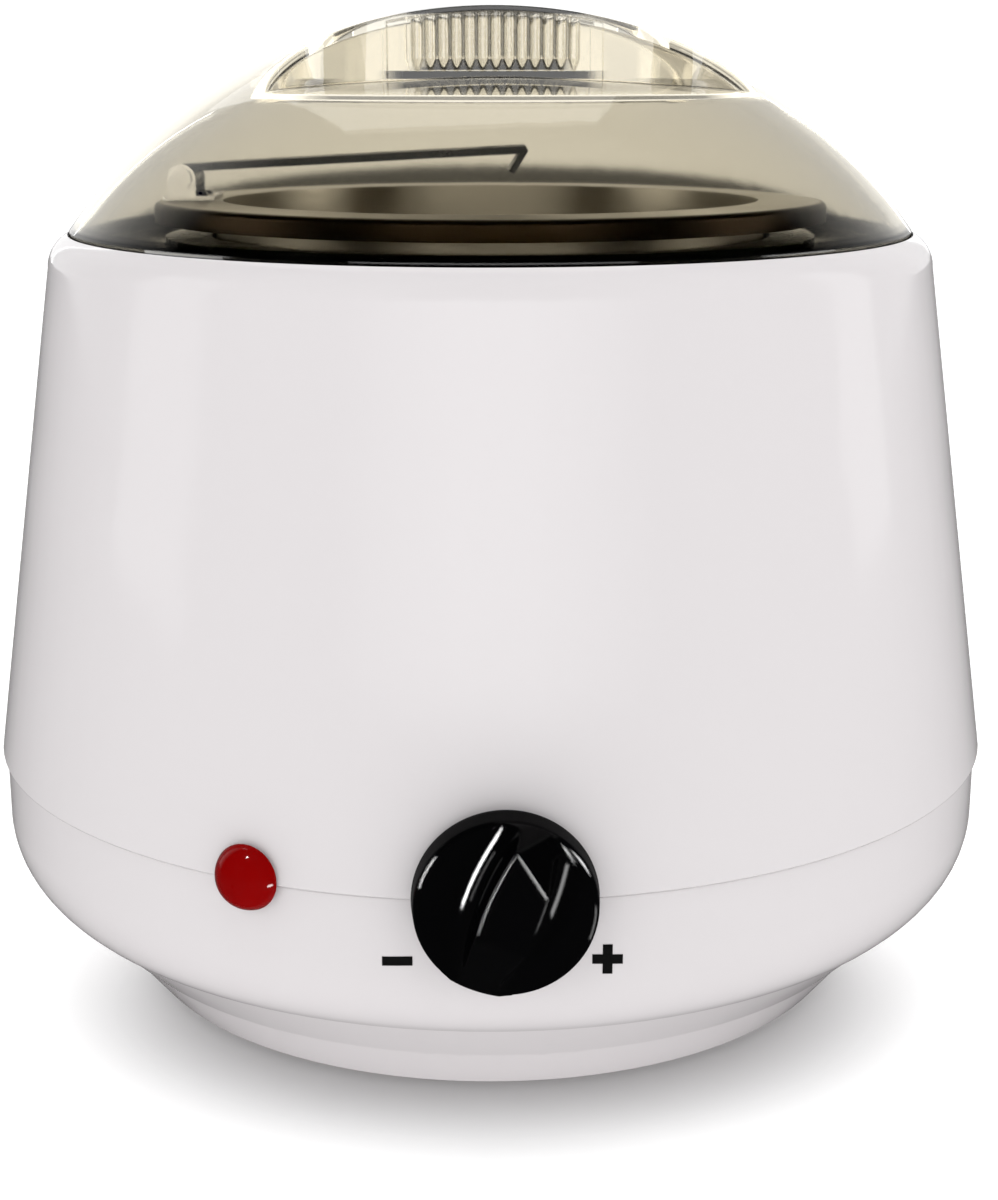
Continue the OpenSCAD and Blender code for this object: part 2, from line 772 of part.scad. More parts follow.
module hinge_pin() {
    reach = ear_y + ear_w;
    color("gray") translate([-hinge_x, 0, hinge_z]) rotate([90, 0, 0]) {
        cylinder(r = hinge_pin_r, h = 2 * reach + 1.6, center = true);
        for (side = [-1, 1]) translate([0, 0, side * (reach + 0.5) - 0.5])
            cylinder(r = hinge_pin_r + 0.8, h = 1);
    }
}

// Fold-over handle: eye, flat strip with a round hole, and a lip bent back under its tip
module pot_handle() {
    // The strip's upper face lies just inside the eye's round
    strip_z = eye_r - handle_t - 0.05;
    lip_dir = [-cos(lip_angle), -sin(lip_angle)];
    lip_side = handle_t * 0.8 * [sin(lip_angle), -cos(lip_angle)];
    lip_root = [handle_len - 1.2 * handle_t, strip_z];
    color("silver") translate([-hinge_x, 0, hinge_z]) rotate([0, -handle_lean, 0]) difference() {
        union() {
            rotate([90, 0, 0]) cylinder(r = eye_r, h = handle_w, center = true);
            rotate([90, 0, 0]) linear_extrude(height = handle_w, center = true)
                polygon([[0, strip_z], lip_root, lip_root + lip_len * lip_dir,
                    lip_root + lip_len * lip_dir + lip_side, [handle_len, strip_z + 0.3 * handle_t],
                    [handle_len - 0.3 * handle_t, strip_z + handle_t], [0, strip_z + handle_t]]);
        }
        rotate([90, 0, 0]) cylinder(r = hinge_pin_r + 0.06, h = far, center = true);
        translate([hinge_x, 0, strip_z - cut]) cylinder(d = hang_hole_d, h = handle_t + 2 * cut);
    }
}

// One side of the dial's grip: a long curve with a finger hollow round its foot
module grip_side(side) {
    edge = grip_side_r - near;
    translate([-side * (grip_side_r - grip_top_w / 2), grip_mid, 0]) rotate_extrude()
        polygon(concat([[0, 0], [edge + hollow_r, 0]],
            arc(edge + hollow_r, dial_rim_h + hollow_r, hollow_r, 270, 180, 6),
            [[edge, dial_h], [0, dial_h]]));
}

// The grip seen from the side: the pointer slopes down to the rim
module grip_outline() {
    rim = dial_face_d / 2;
    polygon([[-rim, 0], [rim, 0], [rim - near, dial_rim_h], [rim - 2.5, dial_h],
        [-nose_start, dial_h], [near - rim, dial_rim_h]]);
}

// The half space beyond the grip's sloping end
module grip_brow() {
    rotate([0, 0, -brow_turn]) translate([0, brow_in, dial_h]) rotate([brow_slope, 0, 0])
        translate([-far / 2, 0, -far / 2]) cube(far);
}

// Heat dial: a round rim with a pointed grip across it
module heat_dial() {
    color([0.06, 0.06, 0.07]) on_front(0, control_z, dial_back) rotate([0, 0, -dial_rest]) difference() {
        union() {
            rotate_extrude() polygon(concat([[0, 0], [dial_d / 2, 0]],
                arc(dial_face_d / 2 - rim_round, dial_rim_h - rim_round, rim_round, 0, 90, 4),
                [[0, dial_rim_h]]));
            difference() {
                intersection() {
                    grip_side(-1);
                    grip_side(1);
                    rotate([90, 0, 90]) linear_extrude(height = dial_d, center = true) grip_outline();
                    cylinder(r = dial_face_d / 2 - near, h = dial_h);
                }
                grip_brow();
            }
        }
        // Recess behind the dial and the bore for the shaft
        translate([0, 0, -cut]) tube(dial_d / 2 - 2, boss_r, cut + recess_depth);
        translate([0, 0, -cut]) cylinder(r = shaft_r + 0.03, h = cut + bore_depth);
    }
}

// Spring clip between the shaft's flat and the dial's bore
module dial_clip() {
    clip_w = 3.2;
    clip_t = 0.5;
    color("gold") on_front(0, control_z, dial_back) rotate([0, 0, -dial_rest])
        translate([-clip_w / 2, shaft_flat + 0.05, 0.6]) cube([clip_w, clip_t, bore_depth - 1.2]);
}

module thermostat_shaft() {
    inner_end = stat_bush_end - shaft_in;
    color("gray") on_front(0, control_z, 0) rotate([0, 0, -dial_rest]) difference() {
        translate([0, 0, inner_end]) cylinder(r = shaft_r, h = dial_back + bore_depth - 0.3 - inner_end);
        translate([-far / 2, shaft_flat, dial_back]) cube([far, far, far]);
    }
}

module thermostat_body() {
    color([0.85, 0.8, 0.7]) difference() {
        union() {
            translate([-stat_w / 2, -stat_front, control_z - stat_w / 2]) cube([stat_w, stat_depth, stat_w]);
            on_front(0, control_z, stat_front - cut)
                cylinder(r = bush_r, h = stat_bush_end - stat_front + cut);
        }
        on_front(0, control_z, stat_bush_end - shaft_in - near) cylinder(r = shaft_r + shaft_fit, h = far);
    }
}

module thermostat_nut() {
    color("silver") on_front(0, control_z, bracket_face) difference() {
        cylinder(r = bush_nut_r, h = 2.5, $fn = 6);
        translate([0, 0, -cut]) cylinder(r = bush_r + 0.02, h = far);
    }
}

module thermostat_bracket() {
    color("lightgray") difference() {
        union() {
            translate([-bracket_w / 2, -bracket_face, bracket_z])
                cube([bracket_w, bracket_t, bracket_top - bracket_z]);
            translate([-bracket_w / 2, -bracket_face, bracket_z]) cube([bracket_w, foot_depth, bracket_t]);
        }
        on_front(0, control_z, 0) cylinder(r = bush_r + 0.1, h = far);
        for (x = [-bracket_post_x, bracket_post_x]) translate([x, -bracket_post_y, 0])
            cylinder(r = small_shank_r + 0.4, h = control_z);
    }
}

module bracket_screws() {
    color("silver") for (x = [-bracket_post_x, bracket_post_x])
        translate([x, -bracket_post_y, bracket_z + bracket_t]) rotate([180, 0, 0])
            screw_up(small_shank_r, bracket_screw_len, 2.6, 1.8);
}

// Sensing bulb against the well's underside, and its capillary to the thermostat
module sensor_bulb() {
    color("peru") translate([-bulb_len / 2, bulb_y, bulb_z]) rotate([0, 90, 0])
        cylinder(r = bulb_r, h = bulb_len);
}

module capillary_tube() {
    low_z = shield_under - tube_drop;
    end_y = -stat_back + 0.02;
    end_z = control_z + tube_rise;
    color("peru") wire([[bulb_len / 2, bulb_y, bulb_z], [tube_x, bulb_y, bulb_z], [tube_x, bulb_y, low_z],
        [tube_drop, end_y + tube_lead, end_z], [tube_drop, end_y, end_z]], tube_r);
}

module lamp_lens() {
    ring = 1;
    color([0.75, 0.02, 0.03]) on_front(-lamp_angle, control_z, lamp_face) difference() {
        union() {
            cylinder(r = lens_d / 2, h = ring);
            intersection() {
                translate([0, 0, ring + lens_h - dome_of(lens_d / 2, lens_h)])
                    sphere(r = dome_of(lens_d / 2, lens_h));
                cylinder(r = lens_d, h = far);
            }
            translate([0, 0, -lamp_stem]) cylinder(r = lamp_stem_r, h = lamp_stem + cut);
        }
        translate([0, 0, -lamp_stem - cut]) cylinder(r = lamp_stem_r - 1.2, h = lamp_stem + cut + 1.5);
    }
}

// Radius of the sphere whose cap has this rim radius and this height
function dome_of(rim, high) = (rim * rim + high * high) / (2 * high);

module neon_bulb() {
    color("orange") on_front(-lamp_angle, control_z, lamp_face) {
        translate([0, 0, -lamp_stem + 2]) cylinder(r = 2.7, h = lamp_stem - 4);
        translate([0, 0, -2]) sphere(r = 2.7);
    }
}

module lamp_clip() {
    color("silver") on_front(-lamp_angle, control_z, clip_in) difference() {
        cylinder(r = lamp_stem_r + 2.3, h = clip_t);
        translate([0, 0, -cut]) cylinder(r = lamp_stem_r + 0.02, h = far);
    }
}

module lamp_leads() {
    s = sin(lamp_angle);
    c = cos(lamp_angle);
    color("black") for (side = [-1, 1]) {
        across = side * 1.4;
        from = [-s * lamp_back + c * across, -c * lamp_back - s * across, control_z];
        run_in = lamp_back - lamp_lead_run;
        to = [-s * run_in + c * across, -c * run_in - s * across, control_z];
        last = [block_at[0] - block_size[0] / 2, block_at[1] + side * 3, lead_z];
        wire([from, to, lamp_lead_bend + [0, side * 3, 0],
            [block_at[0] - block_size[0], block_at[1] + side * 3, lead_z], last], 0.7);
    }
}

module terminal_block() {
    color("ivory") translate([block_at[0], block_at[1], block_z]) difference() {
        translate([-block_size[0] / 2, -block_size[1] / 2, 0]) cube(block_size);
        cylinder(r = 1.5, h = far);
        translate([0, 0, 5]) cylinder(r = 3, h = far);
        for (x = [-terminal_x, terminal_x]) for (y = [-terminal_y, terminal_y])
            translate([x, y, block_size[2] - terminal_depth]) cylinder(r = 2, h = far);
    }
}

module block_screw() {
    color("silver") translate([block_at[0], block_at[1], block_z + 5]) rotate([180, 0, 0])
        screw_up(small_shank_r, block_screw_len, 2.4, 1.8);
}

module thermal_fuse() {
    color("wheat") translate([fuse_at[0], fuse_at[1], shield_under - fuse_r]) rotate([0, 90, 0])
        cylinder(r = fuse_r, h = fuse_len, center = true);
}

module fuse_clip() {
    clip_in = fuse_r + 0.1;
    clip_out = clip_in + 0.8;
    color("silver") translate([fuse_at[0], fuse_at[1], shield_under - fuse_r]) rotate([0, 90, 0])
        linear_extrude(height = 6, center = true) difference() {
            union() {
                circle(r = clip_out);
                translate([-fuse_r, -clip_out - 5]) square([0.8, 2 * (clip_out + 5)]);
                translate([-fuse_r, -clip_out]) square([fuse_r, 2 * clip_out]);
            }
            circle(r = clip_in);
            translate([-far - fuse_r, -far / 2]) square([far, far]);
            translate([-fuse_r - cut, -clip_in]) square([fuse_r + cut, 2 * clip_in]);
        }
}

module heater_leads() {
    color("firebrick") for (side = [-1, 1]) {
        x = side * (lug_gap / 2 + lug_t + wire_r);
        wire([[x, band_out + 5, band_bolt_z - 4], [x, lead_way_y, band_z - 2],
            [side * 2, lead_way_y, shield_under + disc_t],
            [side * 2, lead_way_y, shield_under - lead_drop],
            [block_at[0] + side * 4, block_at[1] + lead_reach, lead_z],
            [block_at[0] + side * 4, block_at[1] + block_size[1] / 2, lead_z]], wire_r);
    }
}

// Rubber gland in the back of the lower shell; the cord's bore runs through it
module cord_gland() {
    flange_t = 2.4;
    flange_r = cord_bore_r + 3;
    color([0.9, 0.9, 0.9]) on_front(180, cord_z, gland_in) difference() {
        union() {
            cylinder(r = cord_bore_r + 2, h = gland_len);
            cylinder(r = flange_r, h = flange_t);
            translate([0, 0, gland_len - flange_t]) cylinder(r = flange_r, h = flange_t);
        }
        translate([0, 0, -cut]) cylinder(r = cord_bore_r, h = far);
    }
}

upper_shell();
lower_shell();
foot_ring();
case_screws();
lid();
heating_well();
well_stud();
well_nut();
heater_band();
band_bolt();
insulation_sleeve();
insulation_disc();
heat_shield();
shield_screws();
wax_pot();
handle_hinge();
hinge_rivets();
hinge_pin();
pot_handle();
heat_dial();
dial_clip();
thermostat_shaft();
thermostat_body();
thermostat_nut();
thermostat_bracket();
bracket_screws();
sensor_bulb();
capillary_tube();
lamp_lens();
neon_bulb();
lamp_clip();
lamp_leads();
terminal_block();
block_screw();
thermal_fuse();
fuse_clip();
heater_leads();
cord_gland();
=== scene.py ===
"""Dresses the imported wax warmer: finishes, printed marks, floor, soft light and camera."""
import math

import bmesh
import bpy
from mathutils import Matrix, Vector


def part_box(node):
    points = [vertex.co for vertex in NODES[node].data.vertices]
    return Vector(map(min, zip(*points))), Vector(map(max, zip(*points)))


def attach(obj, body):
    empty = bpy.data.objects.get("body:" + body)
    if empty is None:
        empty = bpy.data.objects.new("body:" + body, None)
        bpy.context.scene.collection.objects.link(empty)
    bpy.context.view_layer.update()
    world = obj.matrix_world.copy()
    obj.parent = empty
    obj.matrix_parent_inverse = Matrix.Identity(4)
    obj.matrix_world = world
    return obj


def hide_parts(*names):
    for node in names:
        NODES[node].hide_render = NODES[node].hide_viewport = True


bl_info = {
    "name": "Wax warmer dressing",
    "version": (1, 0, 0),
    "blender": (4, 5, 0),
    "location": "3D View > Sidebar > Wax warmer",
    "description": "Finishes the wax warmer and sets it on a pale floor under soft light",
    "category": "Object",
}

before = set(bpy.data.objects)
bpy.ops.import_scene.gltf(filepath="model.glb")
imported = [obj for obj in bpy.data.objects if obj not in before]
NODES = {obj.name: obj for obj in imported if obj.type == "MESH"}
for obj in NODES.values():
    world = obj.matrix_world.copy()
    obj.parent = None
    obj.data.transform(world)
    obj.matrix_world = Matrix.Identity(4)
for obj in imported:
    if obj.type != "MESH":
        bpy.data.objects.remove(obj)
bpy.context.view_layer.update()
MM = 0.001

# Sizes that the new pieces share with the model
LOWER_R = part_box("lower_shell")[1].x
LID_TURN = math.radians(5.3)
DIAL_LOW, DIAL_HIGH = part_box("heat_dial")
CONTROL_Z = (DIAL_LOW.z + DIAL_HIGH.z) / 2


# Shader nodes, each made in one call

def feed(tree, slot, value):
    """A socket takes a link from another socket, or else a plain value."""
    if isinstance(value, bpy.types.NodeSocket):
        tree.links.new(value, slot)
    else:
        slot.default_value = value


def calculate(tree, operation, *values):
    """The result of a maths node."""
    node = tree.nodes.new("ShaderNodeMath")
    node.operation = operation
    for slot, value in zip(node.inputs, values):
        feed(tree, slot, value)
    return node.outputs["Value"]


def calculate_vector(tree, operation, *values):
    """The result of a vector maths node: a number for a length or a distance, else a vector."""
    node = tree.nodes.new("ShaderNodeVectorMath")
    node.operation = operation
    for slot, value in zip(node.inputs, values):
        feed(tree, slot, value)
    return node.outputs["Value" if operation in ("LENGTH", "DISTANCE") else "Vector"]


def map_range(tree, value, source, target=(0.0, 1.0), curve="LINEAR"):
    """A value carried over from one range to another."""
    node = tree.nodes.new("ShaderNodeMapRange")
    node.interpolation_type = curve
    feed(tree, node.inputs["Value"], value)
    for label, limit in zip(("From Min", "From Max", "To Min", "To Max"), (*source, *target)):
        feed(tree, node.inputs[label], limit)
    return node.outputs["Result"]


def mix_colours(tree, share, first, second):
    """The first colour turning into the second as the share goes from 0 to 1."""
    node = tree.nodes.new("ShaderNodeMix")
    node.data_type = "RGBA"
    for label, value in (("Factor", share), ("A", first), ("B", second)):
        feed(tree, node.inputs[label], value)
    return node.outputs["Result"]


def opaque(colour, share=1.0):
    """The value of a colour socket, dimmed to a share."""
    return (*(part * share for part in colour), 1.0)


def object_point(tree, **changes):
    """Object coordinates through a Mapping node."""
    place = tree.nodes.new("ShaderNodeTexCoord")
    mapping = tree.nodes.new("ShaderNodeMapping")
    tree.links.new(place.outputs["Object"], mapping.inputs["Vector"])
    for label, value in changes.items():
        feed(tree, mapping.inputs[label], value)
    return mapping.outputs["Vector"]


def split_point(tree, point):
    """The three parts of a point, as sockets named X, Y and Z."""
    split = tree.nodes.new("ShaderNodeSeparateXYZ")
    tree.links.new(point, split.inputs["Vector"])
    return split.outputs


def from_axis(tree, point):
    """The distance of a point from the Z axis."""
    return calculate_vector(tree, "LENGTH", calculate_vector(tree, "MULTIPLY", point, (1.0, 1.0, 0.0)))


# Node groups for the effects that several finishes share

def new_group(name, inputs, outputs):
    """An empty shader node group with named sockets."""
    group = bpy.data.node_groups.new(name, "ShaderNodeTree")
    for label, kind, value in inputs:
        socket = group.interface.new_socket(name=label, in_out="INPUT", socket_type=kind)
        socket.default_value = value
    for label, kind in outputs:
        group.interface.new_socket(name=label, in_out="OUTPUT", socket_type=kind)
    start = group.nodes.new("NodeGroupInput")
    end = group.nodes.new("NodeGroupOutput")
    return group, start, end


def add_noise(group, point, scale, detail, roughness=0.5):
    """A noise texture's value."""
    noise = group.nodes.new("ShaderNodeTexNoise")
    noise.inputs["Detail"].default_value = detail
    noise.inputs["Roughness"].default_value = roughness
    group.links.new(point, noise.inputs["Vector"])
    group.links.new(scale, noise.inputs["Scale"])
    return noise.outputs["Fac"]


def moulding_grain():
    """The faint, even texture that a moulded or cast surface keeps."""
    group, start, end = new_group(
        "Moulding grain",
        [("Scale", "NodeSocketFloat", 900.0)],
        [("Height", "NodeSocketFloat")],
    )
    grain = add_noise(group, object_point(group), start.outputs["Scale"], 3.0)
    group.links.new(grain, end.inputs["Height"])
    return group


def handling_marks():
    """Soft patches where hands and cloths have dulled a surface."""
    group, start, end = new_group(
        "Handling marks",
        [
            ("Scale", "NodeSocketFloat", 30.0),
            ("Low", "NodeSocketFloat", 0.1),
            ("High", "NodeSocketFloat", 0.2),
        ],
        [("Value", "NodeSocketFloat")],
    )
    patches = add_noise(group, object_point(group), start.outputs["Scale"], 5.0, 0.6)
    spread = map_range(group, patches, (0.35, 0.7), (start.outputs["Low"], start.outputs["High"]))
    group.links.new(spread, end.inputs["Value"])
    return group


def turning_lines():
    """Fine rings round the Z axis, as a spun or turned part shows them."""
    group, start, end = new_group(
        "Turning lines",
        [("Rings", "NodeSocketFloat", 2500.0)],
        [("Height", "NodeSocketFloat")],
    )
    point = object_point(group)
    ring = group.nodes.new("ShaderNodeCombineXYZ")
    group.links.new(from_axis(group, point), ring.inputs["X"])
    group.links.new(split_point(group, point)["Z"], ring.inputs["Z"])
    lines = add_noise(group, ring.outputs["Vector"], start.outputs["Rings"], 2.0)
    group.links.new(lines, end.inputs["Height"])
    return group


def soft_box():
    """One inside a box that is mirrored in X and Y, falling off softly at its faces."""
    group, start, end = new_group(
        "Soft box",
        [
            ("Turn", "NodeSocketVector", (0.0, 0.0, 0.0)),
            ("Centre", "NodeSocketVector", (0.0, 0.0, 0.0)),
            ("Half size", "NodeSocketVector", (1.0, 1.0, 1.0)),
        ],
        [("Value", "NodeSocketFloat")],
    )
    point = calculate_vector(group, "ABSOLUTE", object_point(group, Rotation=start.outputs["Turn"]))
    offset = calculate_vector(group, "SUBTRACT", point, start.outputs["Centre"])
    offset = calculate_vector(group, "DIVIDE", offset, start.outputs["Half size"])
    parts = split_point(group, calculate_vector(group, "ABSOLUTE", offset))
    level = calculate(group, "MAXIMUM", parts["X"], parts["Y"])
    farthest = calculate(group, "MAXIMUM", level, parts["Z"])
    group.links.new(map_range(group, farthest, (1.0, 0.8)), end.inputs["Value"])
    return group


GROUPS = {}


def shared_group(make):
    """Each shared node group is built once."""
    if make.__name__ not in GROUPS:
        GROUPS[make.__name__] = make()
    return GROUPS[make.__name__]


# Finishes

def plain_finish(name, colour, roughness, metallic=0.0):
    """A material with a Principled shader, its constants set on the shader itself."""
    material = bpy.data.materials.new(name)
    material.use_nodes = True
    shader = material.node_tree.nodes["Principled BSDF"]
    shader.inputs["Base Color"].default_value = opaque(colour)
    shader.inputs["Roughness"].default_value = roughness
    shader.inputs["Metallic"].default_value = metallic
    return material, shader


def place_group(material, make, **values):
    """A shared group placed in a material with its own values."""
    node = material.node_tree.nodes.new("ShaderNodeGroup")
    node.node_tree = shared_group(make)
    for label, value in values.items():
        node.inputs[label].default_value = value
    return node


def add_bump(material, shader, height, strength, distance):
    """Bump from a height socket."""
    bump = material.node_tree.nodes.new("ShaderNodeBump")
    bump.inputs["Strength"].default_value = strength
    bump.inputs["Distance"].default_value = distance
    material.node_tree.links.new(height, bump.inputs["Height"])
    material.node_tree.links.new(bump.outputs["Normal"], shader.inputs["Normal"])
    return bump


def round_edges(material, target, radius):
    """Edges that catch the light as if they had a small round."""
    edge = material.node_tree.nodes.new("ShaderNodeBevel")
    edge.samples = 6
    edge.inputs["Radius"].default_value = radius
    material.node_tree.links.new(edge.outputs["Normal"], target.inputs["Normal"])


def dim_in_gloss(material, shader, colour, share):
    """A colour that other glossy pieces mirror darker than it is."""
    tree = material.node_tree
    path = tree.nodes.new("ShaderNodeLightPath")
    mirrored = mix_colours(tree, path.outputs["Is Glossy Ray"], opaque(colour), opaque(colour, share))
    tree.links.new(mirrored, shader.inputs["Base Color"])


def moulded_finish(name, colour, low, high, grain=900.0, depth=0.00002, strength=0.3, rounding=0.0):
    """Moulded plastic, rubber or ceramic: a faint grain, and a sheen that varies."""
    material, shader = plain_finish(name, colour, high)
    marks = place_group(material, handling_marks, Low=low, High=high)
    material.node_tree.links.new(marks.outputs["Value"], shader.inputs["Roughness"])
    texture = place_group(material, moulding_grain, Scale=grain)
    bump = add_bump(material, shader, texture.outputs["Height"], strength, depth)
    if rounding > 0:
        round_edges(material, bump, rounding)
    return material, shader


def metal_finish(name, colour, low, high, turned=False):
    """Sheet, spun or turned metal."""
    material, shader = plain_finish(name, colour, high, metallic=1.0)
    marks = place_group(material, handling_marks, Scale=60.0, Low=low, High=high)
    material.node_tree.links.new(marks.outputs["Value"], shader.inputs["Roughness"])
    if turned:
        texture = place_group(material, turning_lines)
    else:
        texture = place_group(material, moulding_grain, Scale=1500.0)
    add_bump(material, shader, texture.outputs["Height"], 0.35, 0.00003)
    return material, shader


def clear_finish(name, tint, roughness):
    """Clear plastic or glass with a plain transmission weight."""
    material, shader = plain_finish(name, tint, roughness)
    shader.inputs["Transmission Weight"].default_value = 1.0
    shader.inputs["IOR"].default_value = 1.49
    return material, shader


# Pieces

def smooth_copy(node, body, angle=30.0):
    """A merged copy of a CAD node, smooth but for its real edges, that stands for the node."""
    mesh = NODES[node].data.copy()
    work = bmesh.new()
    work.from_mesh(mesh)
    bmesh.ops.remove_doubles(work, verts=work.verts, dist=1e-6)
    for face in work.faces:
        face.smooth = True
    for edge in work.edges:
        sharp = len(edge.link_faces) != 2 or edge.calc_face_angle(0.0) > math.radians(angle)
        edge.smooth = not sharp
    work.to_mesh(mesh)
    work.free()
    piece = bpy.data.objects.new(f"{node}_piece", mesh)
    bpy.context.scene.collection.objects.link(piece)
    weighted = piece.modifiers.new("Even shading", "WEIGHTED_NORMAL")
    weighted.keep_sharp = True
    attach(piece, body)
    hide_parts(node)
    return piece


def dress(piece, material):
    """Gives a piece its finish as its only material."""
    piece.data.materials.clear()
    piece.data.materials.append(material)
    return piece


def dress_nodes(names, material):
    """Gives CAD nodes that keep their own meshes a finish."""
    for name in names:
        if not NODES[name].data.materials:
            NODES[name].data.materials.append(material)
        for place in NODES[name].material_slots:
            place.material = material


def settings(name):
    """The sidebar values of one group."""
    return getattr(bpy.context.scene, name)


class WarmerFinish(bpy.types.PropertyGroup):
    """Colours and gloss of the object"""

    body_colour: bpy.props.FloatVectorProperty(
        name="Body colour", description="White of the two shells",
        default=(0.70, 0.672, 0.68), min=0.0, max=1.0, subtype="COLOR")
    body_gloss: bpy.props.FloatProperty(
        name="Body roughness", description="Roughness of the glossy white shells",
        default=0.14, min=0.0, max=1.0, subtype="FACTOR")
    lid_tint: bpy.props.FloatVectorProperty(
        name="Lid tint", description="Colour that the smoked lid gives to light",
        default=(0.80, 0.76, 0.66), min=0.0, max=1.0, subtype="COLOR")
    lens_colour: bpy.props.FloatVectorProperty(
        name="Lens colour", description="Red of the lamp's lens",
        default=(0.36, 0.0008, 0.001), min=0.0, max=1.0, subtype="COLOR")


class WarmerStage(bpy.types.PropertyGroup):
    """Camera and light"""

    distance: bpy.props.FloatProperty(
        name="Camera distance", description="Level distance of the camera from the body's axis",
        default=0.390, unit="LENGTH")
    eye_height: bpy.props.FloatProperty(
        name="Eye height", description="Height of the camera above the floor",
        default=0.17104, unit="LENGTH")
    pitch: bpy.props.FloatProperty(
        name="Pitch", description="How far the camera looks down",
        default=math.radians(14.704), subtype="ANGLE")
    azimuth: bpy.props.FloatProperty(
        name="Azimuth", description="How far the camera stands round from the dial's side",
        default=math.radians(-1.3), subtype="ANGLE")
    aside: bpy.props.FloatProperty(
        name="Turn aside", description="Small turn of the camera that puts the body left of the centre",
        default=math.radians(0.234), subtype="ANGLE")
    focal_length: bpy.props.FloatProperty(
        name="Focal length", description="Lens for a sensor whose long side is 36 mm",
        default=61.05, min=10.0, max=200.0)
    sky: bpy.props.FloatProperty(
        name="Room light", description="Strength of the even light of the room",
        default=0.55, min=0.0, max=2.0)
    key: bpy.props.FloatProperty(
        name="Front light", description="Brightness of each large front light",
        default=0.93, min=0.0, max=10.0)


class WARMER_OT_shells(bpy.types.Operator):
    """Finish the two shells, the foot ring and the cord's gland"""

    bl_idname = "warmer.shells"
    bl_label = "Shells"

    def execute(self, context):
        finish = settings("warmer_finish")
        white, shader = moulded_finish(
            "Glossy white plastic", finish.body_colour, finish.body_gloss * 0.7, finish.body_gloss, 260.0)
        shader.inputs["IOR"].default_value = 1.5
        dim_in_gloss(white, shader, finish.body_colour, 0.12)
        for node in ("upper_shell", "lower_shell"):
            dress(smooth_copy(node, "housing"), white)
        rubber, _ = moulded_finish("Grey rubber", (0.4, 0.4, 0.39), 0.6, 0.8)
        dress(smooth_copy("foot_ring", "housing"), rubber)
        gland, _ = moulded_finish("White rubber", (0.72, 0.72, 0.71), 0.5, 0.7)
        dress(smooth_copy("cord_gland", "housing"), gland)
        steel, _ = metal_finish("Plated steel", (0.6, 0.6, 0.61), 0.25, 0.4)
        dress_nodes(["case_screws"], steel)
        return {"FINISHED"}


class WARMER_OT_lid(bpy.types.Operator):
    """Finish the smoked lid"""

    bl_idname = "warmer.lid"
    bl_label = "Lid"

    def execute(self, context):
        tint = settings("warmer_finish").lid_tint
        smoked, shader = clear_finish("Smoked clear plastic", tint, 0.03)
        # The lid gets a painted glow where light is trapped, and painted shade at its edges
        late = self.painted_trapped_glow(smoked, shader)
        self.painted_edge_shade(smoked, shader, tint, late)
        round_edges(smoked, shader, 0.5 * MM)
        dress(smooth_copy("lid", "lid", 18.0), smoked)
        return {"FINISHED"}

    def painted_trapped_glow(self, material, shader):
        """Painted glow: where light has been turned back more than once inside the wall, the wall glows
        instead of going black; gives back the mask of those places.
        """
        tree = material.node_tree
        path = tree.nodes.new("ShaderNodeLightPath")
        shader.inputs["Emission Strength"].default_value = 0.6
        return calculate(tree, "GREATER_THAN", path.outputs["Glossy Depth"], 1.5)

    def painted_edge_shade(self, material, shader, tint, late):
        """Painted shade: the smoked plastic's colour is darkened in boxes at the crown, the rib gaps and
        feet, the panel's foot, the scoop's brink and the floor behind it, and the lid's foot, where shade
        and edge-on darkness fall.
        """
        tree = material.node_tree
        colour = opaque(tint)
        # Place, centre and half size in mm, and how much light is left
        for place, centre, half, left in (
            ("Crown", (0.0, 0.0, 181.9), (27.0, 11.0, 2.0), 0.004),
            ("Gaps between the ribs", (0.0, 8.6, 177.0), (15.3, 0.35, 5.0), 0.12),
            ("Feet of the ribs", (0.0, 8.6, 171.3), (15.3, 0.4, 1.1), 0.01),
            ("Foot of the ribbed panel", (0.0, 8.8, 169.45), (21.0, 1.6, 0.8), 0.01),
            ("Brink of the scoop", (0.0, 50.0, 166.0), (39.0, 40.0, 0.3), 0.1),
            ("Floor behind the brink", (0.0, 31.0, 167.8), (38.0, 21.5, 1.0), 0.12),
            ("Foot of the lid", (0.0, 0.0, 140.3), (120.0, 120.0, 2.7), 0.01),
        ):
            box = place_group(
                material, soft_box, Turn=(0.0, 0.0, -LID_TURN),
                **{"Centre": [part * MM for part in centre], "Half size": [part * MM for part in half]})
            box.label = place
            colour = mix_colours(tree, box.outputs["Value"], colour, opaque(tint, left))
        # Where the glow mask holds, the colour turns into the painted glow, which is darkened in the painted
        # shade as the colour is
        black = opaque(tint, 0.0)
        tree.links.new(mix_colours(tree, late, colour, black), shader.inputs["Base Color"])
        tree.links.new(mix_colours(tree, late, black, colour), shader.inputs["Emission Color"])


